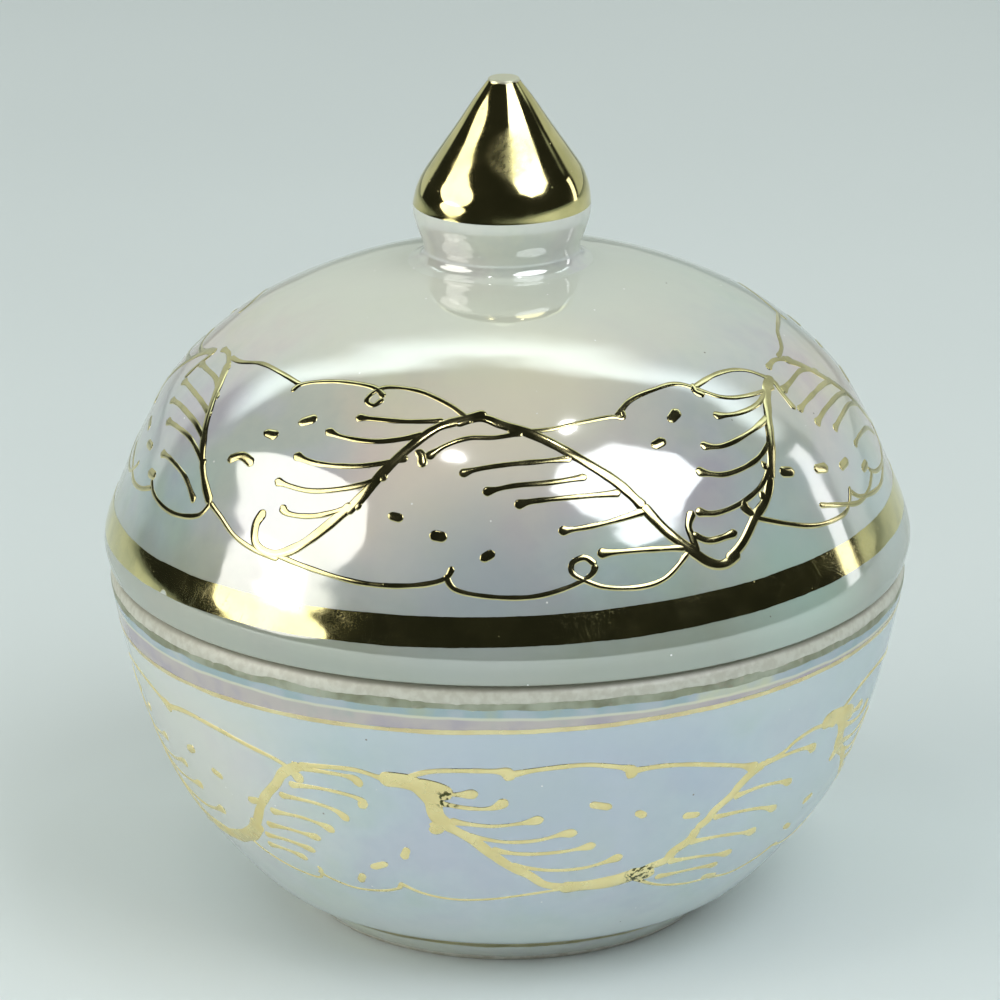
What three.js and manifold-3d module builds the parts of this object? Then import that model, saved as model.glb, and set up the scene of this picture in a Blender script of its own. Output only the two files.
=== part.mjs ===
// A round porcelain trinket box: a footed bowl and a domed lid that lifts off, with a gilt finial,
// painted gold and lustre bands, and a raised gilded garland round the lid and round the bowl.
// Millimetres, +Z up. The origin is the centre of the foot ring's underside, and -Y is the front.
import * as THREE from "three";
import { mergeVertices } from "three/addons/utils/BufferGeometryUtils.js";
import Module from "manifold-3d";

const wasm = await Module();
wasm.setup();

// Driving dimensions.
const TOTAL_HEIGHT = 94.8;
const LID_RADIUS = 45.1;
const SEAM_HEIGHT = 40.9; // underside of the lid's edge
const CROWN_HEIGHT = 74.35; // flat pad on top of the dome, under the finial
const WALL = 3.2; // porcelain wall
const FOOT_HEIGHT = 3.4; // underside of the bowl
const SEAT_GAP = 0.1; // air between the lid's edge and the bowl's rim
const LUTE_GAP = 0.05; // between pieces that were stuck together in slip
const FLANGE_RADIUS = 40.6; // locating flange, a loose fit in the bowl's mouth
const FLANGE_WALL = 2.2;
const FLANGE_DEPTH = 3.3; // how far the flange drops below the seam
const FLANGE_TOP = 45;
const CHAMFER = 0.6; // on the flange's lower edges
const FINIAL_OFFSET = -0.37; // the finial sits a little to the left of the lid's axis
const GILT_HEIGHT = 80.8; // lower edge of the gilding on the finial
const FILM = 0.12; // thickness that stands for a fired-on film of gold or lustre
const FILM_GAP = 0.06;
const BRUSH_TILT = 1.3; // degrees: the bands were painted freehand and rise to the right
const LINE_RADIUS = 0.38; // half width of a raised gilded line
const LINE_LIFT = 0.6; // a line's centre above the wall, so that its straight steps clear the curve
const REPEATS = 5; // the garland's motif goes five times round
const SEGMENTS = 40; // facets round the body
const FINIAL_SEGMENTS = 30;
const FINIAL_STEPS = 4; // steps between two points of the finial's outlines

// Outlines, as [radius, height] points of smooth curves.
const BOWL_OUTER = [
  [25.6, FOOT_HEIGHT], [28.9, 5], [33.5, 10], [37.75, 16], [41, 24], [43.2, 32], [44.3, 37.5], [44.5, 39.2],
];
const LID_OUTER = [
  [44.72, 41.35], [LID_RADIUS, 43.2], [44.6, 45.4], [43.2, 48.9], [40.55, 54.9], [36.93, 60.9],
  [30.5, 66.65], [24, 70.15], [18, 72.4], [12, 73.95], [9.9, CROWN_HEIGHT],
];
const FINIAL_LOWER = [
  [9.9, CROWN_HEIGHT + LUTE_GAP], [9.1, 74.75], [8.65, 75.6], [8.8, 76.7], [9.3, 78], [9.75, 79.6],
  [9.8, GILT_HEIGHT],
];
const FINIAL_UPPER = [
  [9.8, GILT_HEIGHT], [9.5, 82.5], [8.75, 84.3], [7.3, 86.5], [5.15, 89.6], [3.3, 92.4], [1.75, 94.5],
];

const MATERIALS = {
  porcelain: { color: 0xb8c7be, roughness: 0.12, metalness: 0 },
  biscuit: { color: 0xd2c6b0, roughness: 0.75, metalness: 0 },
  lustre: { color: 0xa9b5b4, roughness: 0.15, metalness: 0.5 },
  gold: { color: 0xb99b4e, roughness: 0.15, metalness: 1 },
};

const corner = (radius, height) => new THREE.Vector2(radius, height);

function smooth(points, divisions) {
  return new THREE.SplineCurve(points.map(([radius, height]) => corner(radius, height))).getPoints(divisions);
}

// Moves an outline sideways by a distance, outwards when it runs from bottom to top.
function shifted(outline, distance) {
  return outline.map((point, index) => {
    const before = outline[Math.max(index - 1, 0)];
    const after = outline[Math.min(index + 1, outline.length - 1)];
    const along = after.clone().sub(before).normalize();
    return new THREE.Vector2(point.x + along.y * distance, point.y - along.x * distance);
  });
}

function turned(outline, segments = SEGMENTS) {
  return new THREE.LatheGeometry(outline, segments).rotateX(Math.PI / 2);
}

function closed(outline) {
  return [...outline, outline[0].clone()];
}

// The foot's flared outer face, from its lower to its upper edge.
const FOOT_UPPER = [corner(24.2, 1.7), corner(25.5, FOOT_HEIGHT - LUTE_GAP)];

// Booleans.
function solidOf(geometry) {
  const plain = geometry.clone();
  plain.deleteAttribute("normal");
  plain.deleteAttribute("uv");
  const merged = mergeVertices(plain, 1e-4);
  return new wasm.Manifold(new wasm.Mesh({
    numProp: 3,
    vertProperties: new Float32Array(merged.attributes.position.array),
    triVerts: new Uint32Array(merged.index.array),
  }));
}

function geometryOf(solid) {
  const mesh = solid.getMesh();
  const geometry = new THREE.BufferGeometry();
  geometry.setAttribute("position", new THREE.BufferAttribute(new Float32Array(mesh.vertProperties), 3));
  geometry.setIndex(new THREE.BufferAttribute(new Uint32Array(mesh.triVerts), 1));
  geometry.computeVertexNormals();
  return geometry;
}

const join = (solids) => solids.reduce((all, next) => all.add(next));

// The two outer surfaces that are painted on.
const bowlOutline = smooth(BOWL_OUTER, 10);
const lidOutline = smooth(LID_OUTER, 13);

function radiusAt(outline, height) {
  const above = Math.max(outline.findIndex((point) => point.y >= height), 1);
  const low = outline[above - 1];
  const high = outline[above];
  return THREE.MathUtils.mapLinear(height, low.y, high.y, low.x, high.x);
}

function aboveWall(outline, degrees, height) {
  const angle = THREE.MathUtils.degToRad(degrees);
  const radius = radiusAt(shifted(outline, LINE_LIFT), height);
  return new THREE.Vector3(radius * Math.sin(angle), -radius * Math.cos(angle), height);
}

// A band painted freehand on the turning piece: a thin ring that follows the wall. Each edge has a height
// at the front and a tilt in degrees, rising to the right.
function paintedBand(outline, lower, upper) {
  const inside = FILM_GAP;
  const outside = FILM_GAP + FILM;
  const around = [corner(inside, 0), corner(outside, 0), corner(outside, 1), corner(inside, 1)];
  const ring = turned(closed([...around, corner(inside, 0.5)]));
  const places = ring.attributes.position;
  for (let index = 0; index < places.count; index += 1) {
    const depth = Math.hypot(places.getX(index), places.getY(index));
    const across = places.getX(index) / depth;
    const along = places.getY(index) / depth;
    const share = places.getZ(index);
    const slope = Math.tan(THREE.MathUtils.degToRad(THREE.MathUtils.lerp(lower.tilt, upper.tilt, share)));
    const level = THREE.MathUtils.lerp(lower.height, upper.height, share) + LID_RADIUS * across * slope;
    const radius = radiusAt(outline, level) + depth;
    places.setXYZ(index, radius * across, radius * along, level);
  }
  return ring;
}

const edge = ([height, tilt]) => ({ height, tilt });
const bowlBand = (lower, upper) => paintedBand(bowlOutline, edge(lower), edge(upper));
const lidBand = (lower, upper) => paintedBand(lidOutline, edge(lower), edge(upper));

// Porcelain pieces.
function bowl() {
  const inner = shifted(smooth(BOWL_OUTER, 7).slice(1, -1), -WALL).reverse();
  const seat = SEAM_HEIGHT - SEAT_GAP;
  const rim = [corner(44.1, 40.3), corner(43.2, seat), corner(41.9, seat)];
  const lip = corner(41.3, 40.2);
  const floor = [corner(20, FOOT_HEIGHT + WALL), corner(0, FOOT_HEIGHT + WALL)];
  return turned([corner(0, FOOT_HEIGHT), ...bowlOutline, ...rim, lip, ...inner, ...floor]);
}

function footRing() {
  const inside = [corner(18.6, FOOT_UPPER[1].y), corner(19.3, 0.9)];
  return turned(closed([corner(20.2, 0), corner(22.6, 0), corner(23.2, 0.5), ...FOOT_UPPER, ...inside]));
}

function lidShell() {
  const inner = shifted(smooth(LID_OUTER, 8).filter((point) => point.y > 46), -WALL).reverse();
  const mouth = FLANGE_RADIUS + LUTE_GAP;
  const crown = [corner(0, CROWN_HEIGHT), corner(0, CROWN_HEIGHT - WALL)];
  const rim = [corner(mouth, FLANGE_TOP + 0.2), corner(mouth, SEAM_HEIGHT), corner(44.3, SEAM_HEIGHT)];
  const outer = [...rim, ...lidOutline, crown[0]];
  return turned([crown[1], ...inner, ...outer]);
}

function locatingFlange() {
  const bottom = SEAM_HEIGHT - FLANGE_DEPTH;
  const inside = FLANGE_RADIUS - FLANGE_WALL;
  const lower = [corner(inside, bottom + CHAMFER), corner(inside + CHAMFER, bottom)];
  const outer = [corner(FLANGE_RADIUS - CHAMFER, bottom), corner(FLANGE_RADIUS, bottom + CHAMFER)];
  return turned(closed([...lower, ...outer, corner(FLANGE_RADIUS, FLANGE_TOP), corner(inside, FLANGE_TOP)]));
}

function finial() {
  const lower = smooth(FINIAL_LOWER, FINIAL_STEPS);
  const core = shifted(smooth(FINIAL_UPPER, FINIAL_STEPS), -FILM - FILM_GAP);
  const axis = [corner(0, lower[0].y), corner(0, core.at(-1).y + FILM)];
  return turned([axis[0], ...lower, ...core, axis[1]], FINIAL_SEGMENTS);
}

// Gold.
function finialGilding() {
  const outside = smooth(FINIAL_UPPER, FINIAL_STEPS);
  const inside = shifted(outside, -FILM).reverse();
  inside.at(-1).y += FILM_GAP;
  const tip = [corner(0, TOTAL_HEIGHT), corner(0, TOTAL_HEIGHT - FILM)];
  return turned([tip[1], ...inside, ...outside, tip[0]], FINIAL_SEGMENTS);
}

function footLine() {
  const upper = FOOT_UPPER[1];
  const middle = FOOT_UPPER[0].clone().lerp(upper, 0.45);
  const low = shifted([middle, upper], FILM_GAP);
  const high = shifted([middle, upper], FILM_GAP + FILM);
  return turned(closed([...low.reverse(), ...high]));
}

// Raised lines of the garland, each through [degrees round from the motif's node, height] points.
function raisedLine(outline, start, points, steps) {
  const route = new THREE.SplineCurve(points.map(([degrees, height]) => corner(degrees, height)));
  const path = new THREE.CatmullRomCurve3(
    route.getPoints(steps).map((point) => aboveWall(outline, start + point.x, point.y)),
  );
  const section = new THREE.Shape([0, 120, 240].map((turn) => {
    const angle = THREE.MathUtils.degToRad(turn);
    return corner(LINE_RADIUS * Math.cos(angle), LINE_RADIUS * Math.sin(angle));
  }));
  return solidOf(new THREE.ExtrudeGeometry(section, { steps, bevelEnabled: false, extrudePath: path }));
}

function garland(outline, motif, firstNode) {
  const solids = [];
  for (let turn = 0; turn < REPEATS; turn += 1) {
    const start = firstNode + turn * 360 / REPEATS;
    motif.stems.forEach((points) => solids.push(raisedLine(outline, start, points, 7)));
    motif.scallops.forEach((points) => solids.push(raisedLine(outline, start, points, 7)));
    motif.strokes.forEach((points) => solids.push(raisedLine(outline, start, points, 2)));
  }
  return geometryOf(join(solids));
}

const LID_MOTIF = {
  stems: [
    [[1, 66.2], [-11, 63.4], [-18, 58.3], [-24, 54.4], [-31, 51.5]],
    [[-3, 65.6], [6, 65.4], [14, 64.3], [21, 61.5], [27, 57.6], [33, 53.3], [37, 51.4], [42, 51.6]],
  ],
  scallops: [
    [[-2, 65.9], [-16, 67.6], [-27, 67.1], [-37, 67.5], [-44, 66], [-52, 66.9], [-66, 65.8]],
    [[-28, 52.4], [-22, 51.2], [-14, 50.7], [-3, 51.8], [6, 50.1], [16, 51.2], [24, 50.4], [33, 53.3]],
  ],
  strokes: [
    [[-11, 63.4], [-20, 63.5], [-28, 63.8]],
    [[-14, 61.6], [-22, 61], [-32, 61.2]],
    [[-17, 59.2], [-25, 58.4], [-34, 58.8]],
    [[17, 63.2], [6, 62.3], [-2, 61.3]],
    [[23, 59.9], [13, 59.5], [5, 59.1]],
    [[31, 55.2], [24, 55.2], [16, 55.1]],
  ],
};

const BOWL_MOTIF = {
  stems: [
    [[-10, 28.8], [-14, 26.4], [-18, 23.4], [-21, 20.3], [-25, 17.2], [-32, 15], [-42, 14.7]],
    [[6, 28.7], [10, 26.6], [12, 23.8], [17, 21.4], [22, 18.2], [27, 15.6], [31, 14.7]],
  ],
  scallops: [
    [[-12, 28.2], [-3, 29.5], [6, 28.7], [14, 30.6], [26, 31], [37, 29.9], [48, 29.6], [61, 26.9]],
    [[-27, 16], [-16, 13.2], [-6, 12.7], [4, 14], [12, 12.9], [24, 13.4], [31, 14.7]],
  ],
  strokes: [
    [[-13, 26.6], [-7, 26.4], [-1, 25.2]],
    [[-17, 23.9], [-9, 24.3], [-3, 22.8]],
    [[-20, 21.2], [-12, 21.7], [-6, 20.8]],
    [[-24, 17.4], [-17, 17.8], [-11, 17.2]],
    [[12, 24.2], [20, 23.7], [27, 24.6]],
    [[16, 22.2], [23, 21.6], [32, 22.4]],
    [[19, 20.5], [28, 19.9], [35, 20.6]],
    [[22, 18.4], [31, 17.4], [40, 18.6]],
  ],
};

const box = new THREE.Group();

function add(name, kind, geometry, parent = box) {
  const mesh = new THREE.Mesh(geometry, new THREE.MeshStandardMaterial(MATERIALS[kind]));
  mesh.name = name;
  parent.add(mesh);
}

const base = new THREE.Group();
add("bowl", "porcelain", bowl(), base);
add("foot_ring", "porcelain", footRing(), base);
add("foot_gold_line", "gold", footLine(), base);
add("bowl_lower_gold_line", "gold", bowlBand([35.4, BRUSH_TILT], [35.8, BRUSH_TILT]), base);
add("bowl_lustre_band", "lustre", bowlBand([35.9, BRUSH_TILT], [38.2, 0]), base);
add("bowl_upper_gold_line", "gold", bowlBand([38.3, 0], [38.7, 0]), base);
add("bowl_garland", "gold", garland(bowlOutline, BOWL_MOTIF, -22), base);
box.add(base);

const lid = new THREE.Group();
add("lid_shell", "porcelain", lidShell(), lid);
add("lid_locating_flange", "biscuit", locatingFlange(), lid);
add("lid_gold_band", "gold", lidBand([45.35, BRUSH_TILT], [48.3, BRUSH_TILT]), lid);
add("lid_garland", "gold", garland(lidOutline, LID_MOTIF, -6), lid);
const knob = new THREE.Group();
knob.position.x = FINIAL_OFFSET;
add("finial", "porcelain", finial(), knob);
add("finial_gilding", "gold", finialGilding(), knob);
lid.add(knob);
box.add(lid);

export default box;
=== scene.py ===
# Porcelain trinket box: the looks of the lidded box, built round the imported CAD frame.
# Outlines are [radius, height] and garland lines [degrees, height] in millimetres, as in the part's source.
# Degrees run round the box from the front (-Y) towards the right (+X).
import math

import bpy
import numpy as np
from mathutils import Matrix, Vector, noise


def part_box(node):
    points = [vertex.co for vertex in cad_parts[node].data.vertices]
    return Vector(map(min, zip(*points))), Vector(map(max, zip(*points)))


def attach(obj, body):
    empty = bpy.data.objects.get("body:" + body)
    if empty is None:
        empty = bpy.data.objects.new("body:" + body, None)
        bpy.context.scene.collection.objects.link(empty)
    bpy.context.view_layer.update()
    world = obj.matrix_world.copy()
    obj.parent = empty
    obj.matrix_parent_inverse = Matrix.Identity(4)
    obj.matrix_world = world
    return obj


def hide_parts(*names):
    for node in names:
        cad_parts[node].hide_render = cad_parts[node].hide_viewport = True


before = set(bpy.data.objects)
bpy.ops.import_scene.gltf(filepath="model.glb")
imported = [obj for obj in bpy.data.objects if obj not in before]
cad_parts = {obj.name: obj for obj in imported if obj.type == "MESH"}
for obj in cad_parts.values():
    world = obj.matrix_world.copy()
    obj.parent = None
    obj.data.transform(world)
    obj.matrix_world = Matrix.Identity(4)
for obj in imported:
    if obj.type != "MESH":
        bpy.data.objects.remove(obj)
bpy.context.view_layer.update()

MM = 0.001

# Heights that the frame gives, in millimetres.
LID_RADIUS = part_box("lid_shell")[1][0] / MM
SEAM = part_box("lid_shell")[0][2] / MM
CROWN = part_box("lid_shell")[1][2] / MM
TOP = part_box("finial_gilding")[1][2] / MM
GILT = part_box("finial_gilding")[0][2] / MM
FINIAL_X = (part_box("finial")[0][0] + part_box("finial")[1][0]) / 2 / MM
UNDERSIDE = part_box("bowl")[0][2] / MM
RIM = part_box("bowl")[1][2] / MM
FLANGE_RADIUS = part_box("lid_locating_flange")[1][0] / MM
FLANGE_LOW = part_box("lid_locating_flange")[0][2] / MM
FLANGE_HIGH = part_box("lid_locating_flange")[1][2] / MM

# Driving dimensions that the frame doesn't give, in millimetres.
WALL = 3.2
FLANGE_WALL = 2.2
FLANGE_ROUND = 0.8  # radius along the flange's lower edges
EDGE_ROUND = 0.42  # radius along the lid's edge
LIP_OUTSIDE = 1.45  # radii of the bowl's rounded rim
LIP_INSIDE = 1.1
GILDING = 0.12  # thickness of the finial's gilding

TURN = 256  # facets round a turned piece
TILT = math.radians(1.3)  # the bands were painted freehand and rise to the right
REPEAT = 360 / 5  # the garland's motif goes five times round

BOWL_OUTER = [
    [25.6, 3.4], [28.9, 5], [33.5, 10], [37.75, 16], [41, 24], [43.2, 32], [44.3, 37.5], [44.5, 39.2],
]
LID_OUTER = [
    [44.72, 41.35], [LID_RADIUS, 43.2], [44.6, 45.4], [43.2, 48.9], [40.55, 54.9], [36.93, 60.9],
    [30.5, 66.65], [24, 70.15], [18, 72.4], [12, 73.95], [9.9, CROWN],
]
FINIAL_LOWER = [
    [9.9, CROWN + 0.05], [9.1, 74.75], [8.65, 75.6], [8.8, 76.7], [9.3, 78], [9.75, 79.6], [9.8, GILT],
]
FINIAL_UPPER = [
    [9.8, GILT], [9.5, 82.5], [8.75, 84.3], [7.3, 86.5], [5.15, 89.6], [3.3, 92.4], [1.75, 94.5],
]
FINIAL_LEAN = 0.3  # millimetres that the gilded top leans to the right
LEAN_RISE = 4  # millimetres of height over which the lean grows


# ---------------------------------------------------------------- outlines and meshes

def smooth(points, steps):
    """Catmull-Rom curve through the points, as rows of radius and height."""
    p = np.array(points, float)
    p = np.vstack([p[0], p, p[-1]])
    rows = []
    for i in range(1, len(p) - 2):
        for t in np.arange(steps) / steps:
            a = 2 * p[i]
            b = p[i + 1] - p[i - 1]
            c = 2 * p[i - 1] - 5 * p[i] + 4 * p[i + 1] - p[i + 2]
            d = -p[i - 1] + 3 * p[i] - 3 * p[i + 1] + p[i + 2]
            rows.append(0.5 * (a + b * t + c * t * t + d * t ** 3))
    rows.append(p[-2])
    return np.array(rows)


def normals(outline):
    """Unit normals of an outline that runs upwards, pointing out of the wall."""
    along = np.gradient(outline, axis=0)
    out = np.stack([along[:, 1], -along[:, 0]], axis=1)
    return out / np.linalg.norm(out, axis=1, keepdims=True)


def shifted(outline, distance):
    return outline + normals(outline) * distance


def arc(centre, radius, start, end, steps):
    """Points on an arc, from start to end degrees, where 0 points outwards and 90 up."""
    turn = np.radians(np.linspace(start, end, steps))
    return np.stack([centre[0] + radius * np.cos(turn), centre[1] + radius * np.sin(turn)], axis=1)


def object_from(name, verts, faces, body, replaces, crease):
    """A smooth-shaded piece that rides a body and stands in for some of the frame's nodes."""
    mesh = bpy.data.meshes.new(name)
    mesh.from_pydata([tuple(v * MM for v in vert) for vert in verts], [], faces)
    mesh.validate()
    mesh.shade_smooth()
    mesh.set_sharp_from_angle(angle=math.radians(crease))
    piece = bpy.data.objects.new(name, mesh)
    bpy.context.scene.collection.objects.link(piece)
    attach(piece, body)
    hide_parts(*replaces)
    return piece


def wobble(x, y, z, scale, amount):
    """A smooth random offset of up to about an amount, the same each time for the same place."""
    return amount * noise.noise(Vector((x, y, z)) * scale)


def turned(name, outline, body, replaces, centre_x=0.0, uneven=0.0):
    """A closed turned solid. The outline starts and ends on the axis, or closes on itself."""
    on_axis = outline[0][0] < 1e-6
    rows = outline[1:-1] if on_axis else outline
    verts = []
    for radius, height in rows:
        for k in range(TURN):
            a = 2 * math.pi * k / TURN
            r = radius + wobble(math.sin(a), math.cos(a), height / 40, 1.7, uneven)
            verts.append((centre_x + r * math.sin(a), -r * math.cos(a), height))
    count = len(rows)
    faces = []
    for i in range(count - 1 if on_axis else count):
        low = i * TURN
        high = (i + 1) % count * TURN
        for k in range(TURN):
            nxt = (k + 1) % TURN
            faces.append((low + k, low + nxt, high + nxt, high + k))
    if on_axis:
        first = len(verts)
        verts += [(centre_x, 0, outline[0][1]), (centre_x, 0, outline[-1][1])]
        last = (count - 1) * TURN
        for k in range(TURN):
            nxt = (k + 1) % TURN
            faces.append((first, nxt, k))
            faces.append((first + 1, last + k, last + nxt))
    return object_from(name, verts, faces, body, replaces, crease=40)


class Wall:
    """A turned outer wall that things are painted and trailed on."""

    def __init__(self, points):
        self.outline = smooth(points, 16)
        self.out = normals(self.outline)

    def place(self, degrees, height, lift=0.0):
        angle = math.radians(degrees)
        r = np.interp(height, self.outline[:, 1], self.outline[:, 0])
        nr = np.interp(height, self.outline[:, 1], self.out[:, 0])
        nz = np.interp(height, self.outline[:, 1], self.out[:, 1])
        r += nr * lift
        return Vector((r * math.sin(angle), -r * math.cos(angle), height + nz * lift))

    def normal(self, degrees, height):
        angle = math.radians(degrees)
        nr = np.interp(height, self.outline[:, 1], self.out[:, 0])
        nz = np.interp(height, self.outline[:, 1], self.out[:, 1])
        return Vector((nr * math.sin(angle), -nr * math.cos(angle), nz)).normalized()


BOWL_WALL = Wall(BOWL_OUTER)
LID_WALL = Wall(LID_OUTER)
FOOT_WALL = Wall([[24.2, 1.7], [24.9, 2.6], [25.6, 3.45]])


# ---------------------------------------------------------------- raised gilded lines

SECTION = 9  # points over the top of a line
EMBED = 0.1  # how far a line's base sinks into the glaze
LEAST_RISE = 0.04
RISE = 0.07  # a line's height grows by this share of its half width
LINE_STEP = 0.22  # between two sections of a line
ROOT_REACH = 1.1  # how far along a line its webbed root fades
WAVER = 0.16  # share by which the brush's pressure varies a line's width


def route(wall, points):
    """Points along a line on the wall, with finer steps at its round ends."""
    path = smooth(points, 24)
    places = [wall.place(a, z) for a, z in path]
    length = np.concatenate([[0], np.cumsum([(q - p).length for p, q in zip(places, places[1:])])])
    total = length[-1]
    even = np.linspace(0, total, max(int(total / LINE_STEP), 4))
    ends = 0.5 * (1 - np.cos(np.linspace(0, math.pi / 2, 6)))
    marks = np.unique(np.round(np.concatenate([even, ends, total - ends]), 4))
    marks = marks[(marks >= 0) & (marks <= total)]
    degrees = np.interp(marks, length, path[:, 0])
    heights = np.interp(marks, length, path[:, 1])
    return marks, total, degrees, heights


def half_width(s, total, width, root, bulb, drop, seed):
    """Half a trailed line's width, s along it: webbed at its root, and full and round at its tip."""
    webbing = (root - 1) * math.exp(-s / ROOT_REACH)
    swelling = (bulb - 1) * math.exp(-((total - s - drop / 2) / drop) ** 2)
    w = width / 2 * (1 + webbing + swelling)
    w *= 1 + WAVER * noise.noise(Vector((s * 0.55, seed * 7.3, 0.5)))
    cap = width / 2 * max(bulb, 1) * 0.95
    for gap in (s, total - s):
        if gap < cap:
            w *= math.sqrt(max(1 - (1 - gap / cap) ** 2, 0.0009))
    return w


def lengthened(wall, points, reach):
    """The points with both ends drawn out by a reach in millimetres."""
    ends = []
    for tip, inner in ((points[0], points[1]), (points[-1], points[-2])):
        share = reach / (wall.place(*inner) - wall.place(*tip)).length
        ends.append([tip[0] + (tip[0] - inner[0]) * share, tip[1] + (tip[1] - inner[1]) * share])
    return [ends[0], *points[1:-1], ends[1]]


def trail(parts, wall, points, width, root=1.0, bulb=1.0, drop=0.8, reach=0.0, seed=0.0):
    """Adds one line of trailed slip to parts, as a closed low bead along the points."""
    marks, total, degrees, heights = route(wall, lengthened(wall, points, reach))
    centres = [wall.place(a, z) for a, z in zip(degrees, heights)]
    rings = []
    for i, centre in enumerate(centres):
        before = centres[max(i - 1, 0)]
        after = centres[min(i + 1, len(centres) - 1)]
        out = wall.normal(degrees[i], heights[i])
        side = out.cross((after - before).normalized()).normalized()
        w = half_width(marks[i], total, width, root, bulb, drop, seed)
        h = LEAST_RISE + RISE * w
        ring = []
        for k in range(SECTION):
            turn = math.pi * k / (SECTION - 1)
            up = h * math.sin(turn) ** 0.4 - EMBED * abs(math.cos(turn)) ** 3
            ring.append(centre + side * (w * math.cos(turn)) + out * up)
        rings.append(ring)
    parts.append(rings)


def beads(name, lines, body, replaces):
    """One piece made of closed beads, each a list of rings."""
    verts = []
    faces = []
    for rings in lines:
        start = len(verts)
        for ring in rings:
            verts += ring
        for i in range(len(rings) - 1):
            for k in range(SECTION):
                nxt = (k + 1) % SECTION
                low = start + i * SECTION
                high = low + SECTION
                faces.append((low + k, high + k, high + nxt, low + nxt))
        faces.append(tuple(start + k for k in range(SECTION)))
        last = start + (len(rings) - 1) * SECTION
        faces.append(tuple(last + k for k in reversed(range(SECTION))))
    return object_from(name, verts, faces, body, replaces, crease=60)


# Lines are [kind, points]. A spine or a stem is a leaf's thick middle line, a barb one of its side strokes,
# a hook a short stroke off a spine, a thread or scallop the thin border, a patch a spill of slip, and a dot
# a single touch of it.
LID_KINDS = {
    "spine": {"width": 1.32, "root": 1.1, "bulb": 1.1},
    "barb": {"width": 0.78, "root": 1.7, "bulb": 1.6},
    "thread": {"width": 0.74, "root": 1.3, "bulb": 1.2},
    "hook": {"width": 0.95, "root": 1.2, "bulb": 1.3},
    "dot": {"width": 1.3, "reach": 0.55},
}
BOWL_KINDS = {
    "spine": {"width": 1.4, "root": 1.2, "bulb": 1.1},
    "stem": {"width": 2.1, "root": 1.1, "bulb": 1.0},
    "barb": {"width": 0.6, "root": 2.6, "bulb": 2.3, "drop": 1.2},
    "thread": {"width": 0.56, "root": 1.6, "bulb": 1.4},
    "scallop": {"width": 0.74, "root": 1.6, "bulb": 2.4, "drop": 1.3},
    "hook": {"width": 1.5, "root": 1.2, "bulb": 1.2},
    "patch": {"width": 2.1},
    "dot": {"width": 1.15, "reach": 0.4},
}

# The lid's leaves and borders, in degrees from the motif's node. Leaves A and C lean to the right, B and D
# to the left.
LID_LEAF_A = [
    ["spine", [[5, 65.7], [9, 64.4], [13, 62.4], [17, 60], [20.5, 57.6], [23, 56.1], [25.8, 54.7]]],
    ["thread", [[25.6, 54.8], [29, 53.9], [33, 52.6], [38, 51.8], [42, 51.6]]],
    ["barb", [[8, 65.2], [2, 66], [-3, 65.8]]],
    ["barb", [[13, 63.1], [7, 64.2], [-1, 64.1], [-5, 63.9]]],
    ["barb", [[15, 61.8], [8, 62.3], [0, 62.3], [-5, 62]]],
    ["barb", [[17, 60], [11, 60.7], [3, 60.8], [-3, 60.3]]],
    ["barb", [[21, 57.8], [14, 59.2], [7, 59.3], [1.5, 58.9]]],
    ["barb", [[22, 54.2], [17, 55.9], [10.5, 56.5], [6, 56.3]]],
    ["thread", [[25.8, 54.8], [24, 53.2], [19, 52.3], [14, 52.2], [9.5, 52.7], [7, 53.6]]],
    ["dot", [[5.2, 54], [7.2, 54.1]]],
    ["thread", [[8.2, 53], [4, 52], [-1, 51.7], [-6, 52.5], [-12, 53.6]]],
]
LID_LEAF_B = [
    ["spine", [[2, 66.4], [-2, 65.9], [-7, 65.1], [-11, 63.5], [-14.5, 61.3], [-17, 59], [-19.5, 57]]],
    ["spine", [
        [-18.5, 58], [-22, 55.6], [-26, 53.2], [-30, 51.9], [-33.5, 52.4], [-34.6, 54.2], [-33.6, 55.8],
    ]],
    ["barb", [[-6, 65.7], [-13, 65.4], [-19, 65.3], [-23.5, 65.2]]],
    ["barb", [[-9, 64.5], [-17, 63.6], [-24, 63.5], [-28.2, 63.8]]],
    ["barb", [[-11, 62.5], [-19, 61.4], [-27, 61], [-32, 61.3]]],
    ["barb", [[-15, 60.4], [-21, 59.2], [-27, 58.5], [-33.6, 58.7]]],
    ["barb", [[-18, 57.9], [-24, 56.4], [-29, 56], [-31, 56.6]]],
    ["hook", [[-10, 63.2], [-8.8, 62.8], [-8.2, 61.8]]],
    ["hook", [[-15, 60.9], [-14, 60.4]]],
    ["hook", [[-18.5, 57.8], [-17, 58]]],
]
LID_LEAF_C = [
    ["spine", [
        [-4, 65.5], [1, 66], [5, 65.5], [10, 64.8], [15, 63.6], [20, 61.9], [24, 60.1], [27.5, 57.6],
    ]],
    ["spine", [[27, 58], [30, 55.4], [33, 53.4], [36, 51.6], [38.6, 51.1], [41.5, 51.9]]],
    ["barb", [[9, 64.9], [4, 64.5], [-1, 64.4], [-5, 63.7], [-8, 62.6]]],
    ["barb", [[17, 62.6], [12, 62.5], [6, 62.3], [1, 61.9], [-2, 61.4]]],
    ["barb", [[19, 61], [13, 60.7], [7, 60.5], [2, 59.9]]],
    ["barb", [[24, 59.3], [17, 59.3], [10, 59.1], [7, 58.7]]],
    ["barb", [[27.5, 57.4], [20, 56.6], [13.5, 56.2]]],
    ["barb", [[33, 53.4], [26, 53.8], [19, 53.9]]],
    ["hook", [[34.5, 52.6], [34.2, 54.2], [34, 55.4], [35.3, 56.7]]],
    ["hook", [[34.3, 54.6], [37, 53.6], [42, 53.8]]],
]
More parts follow.
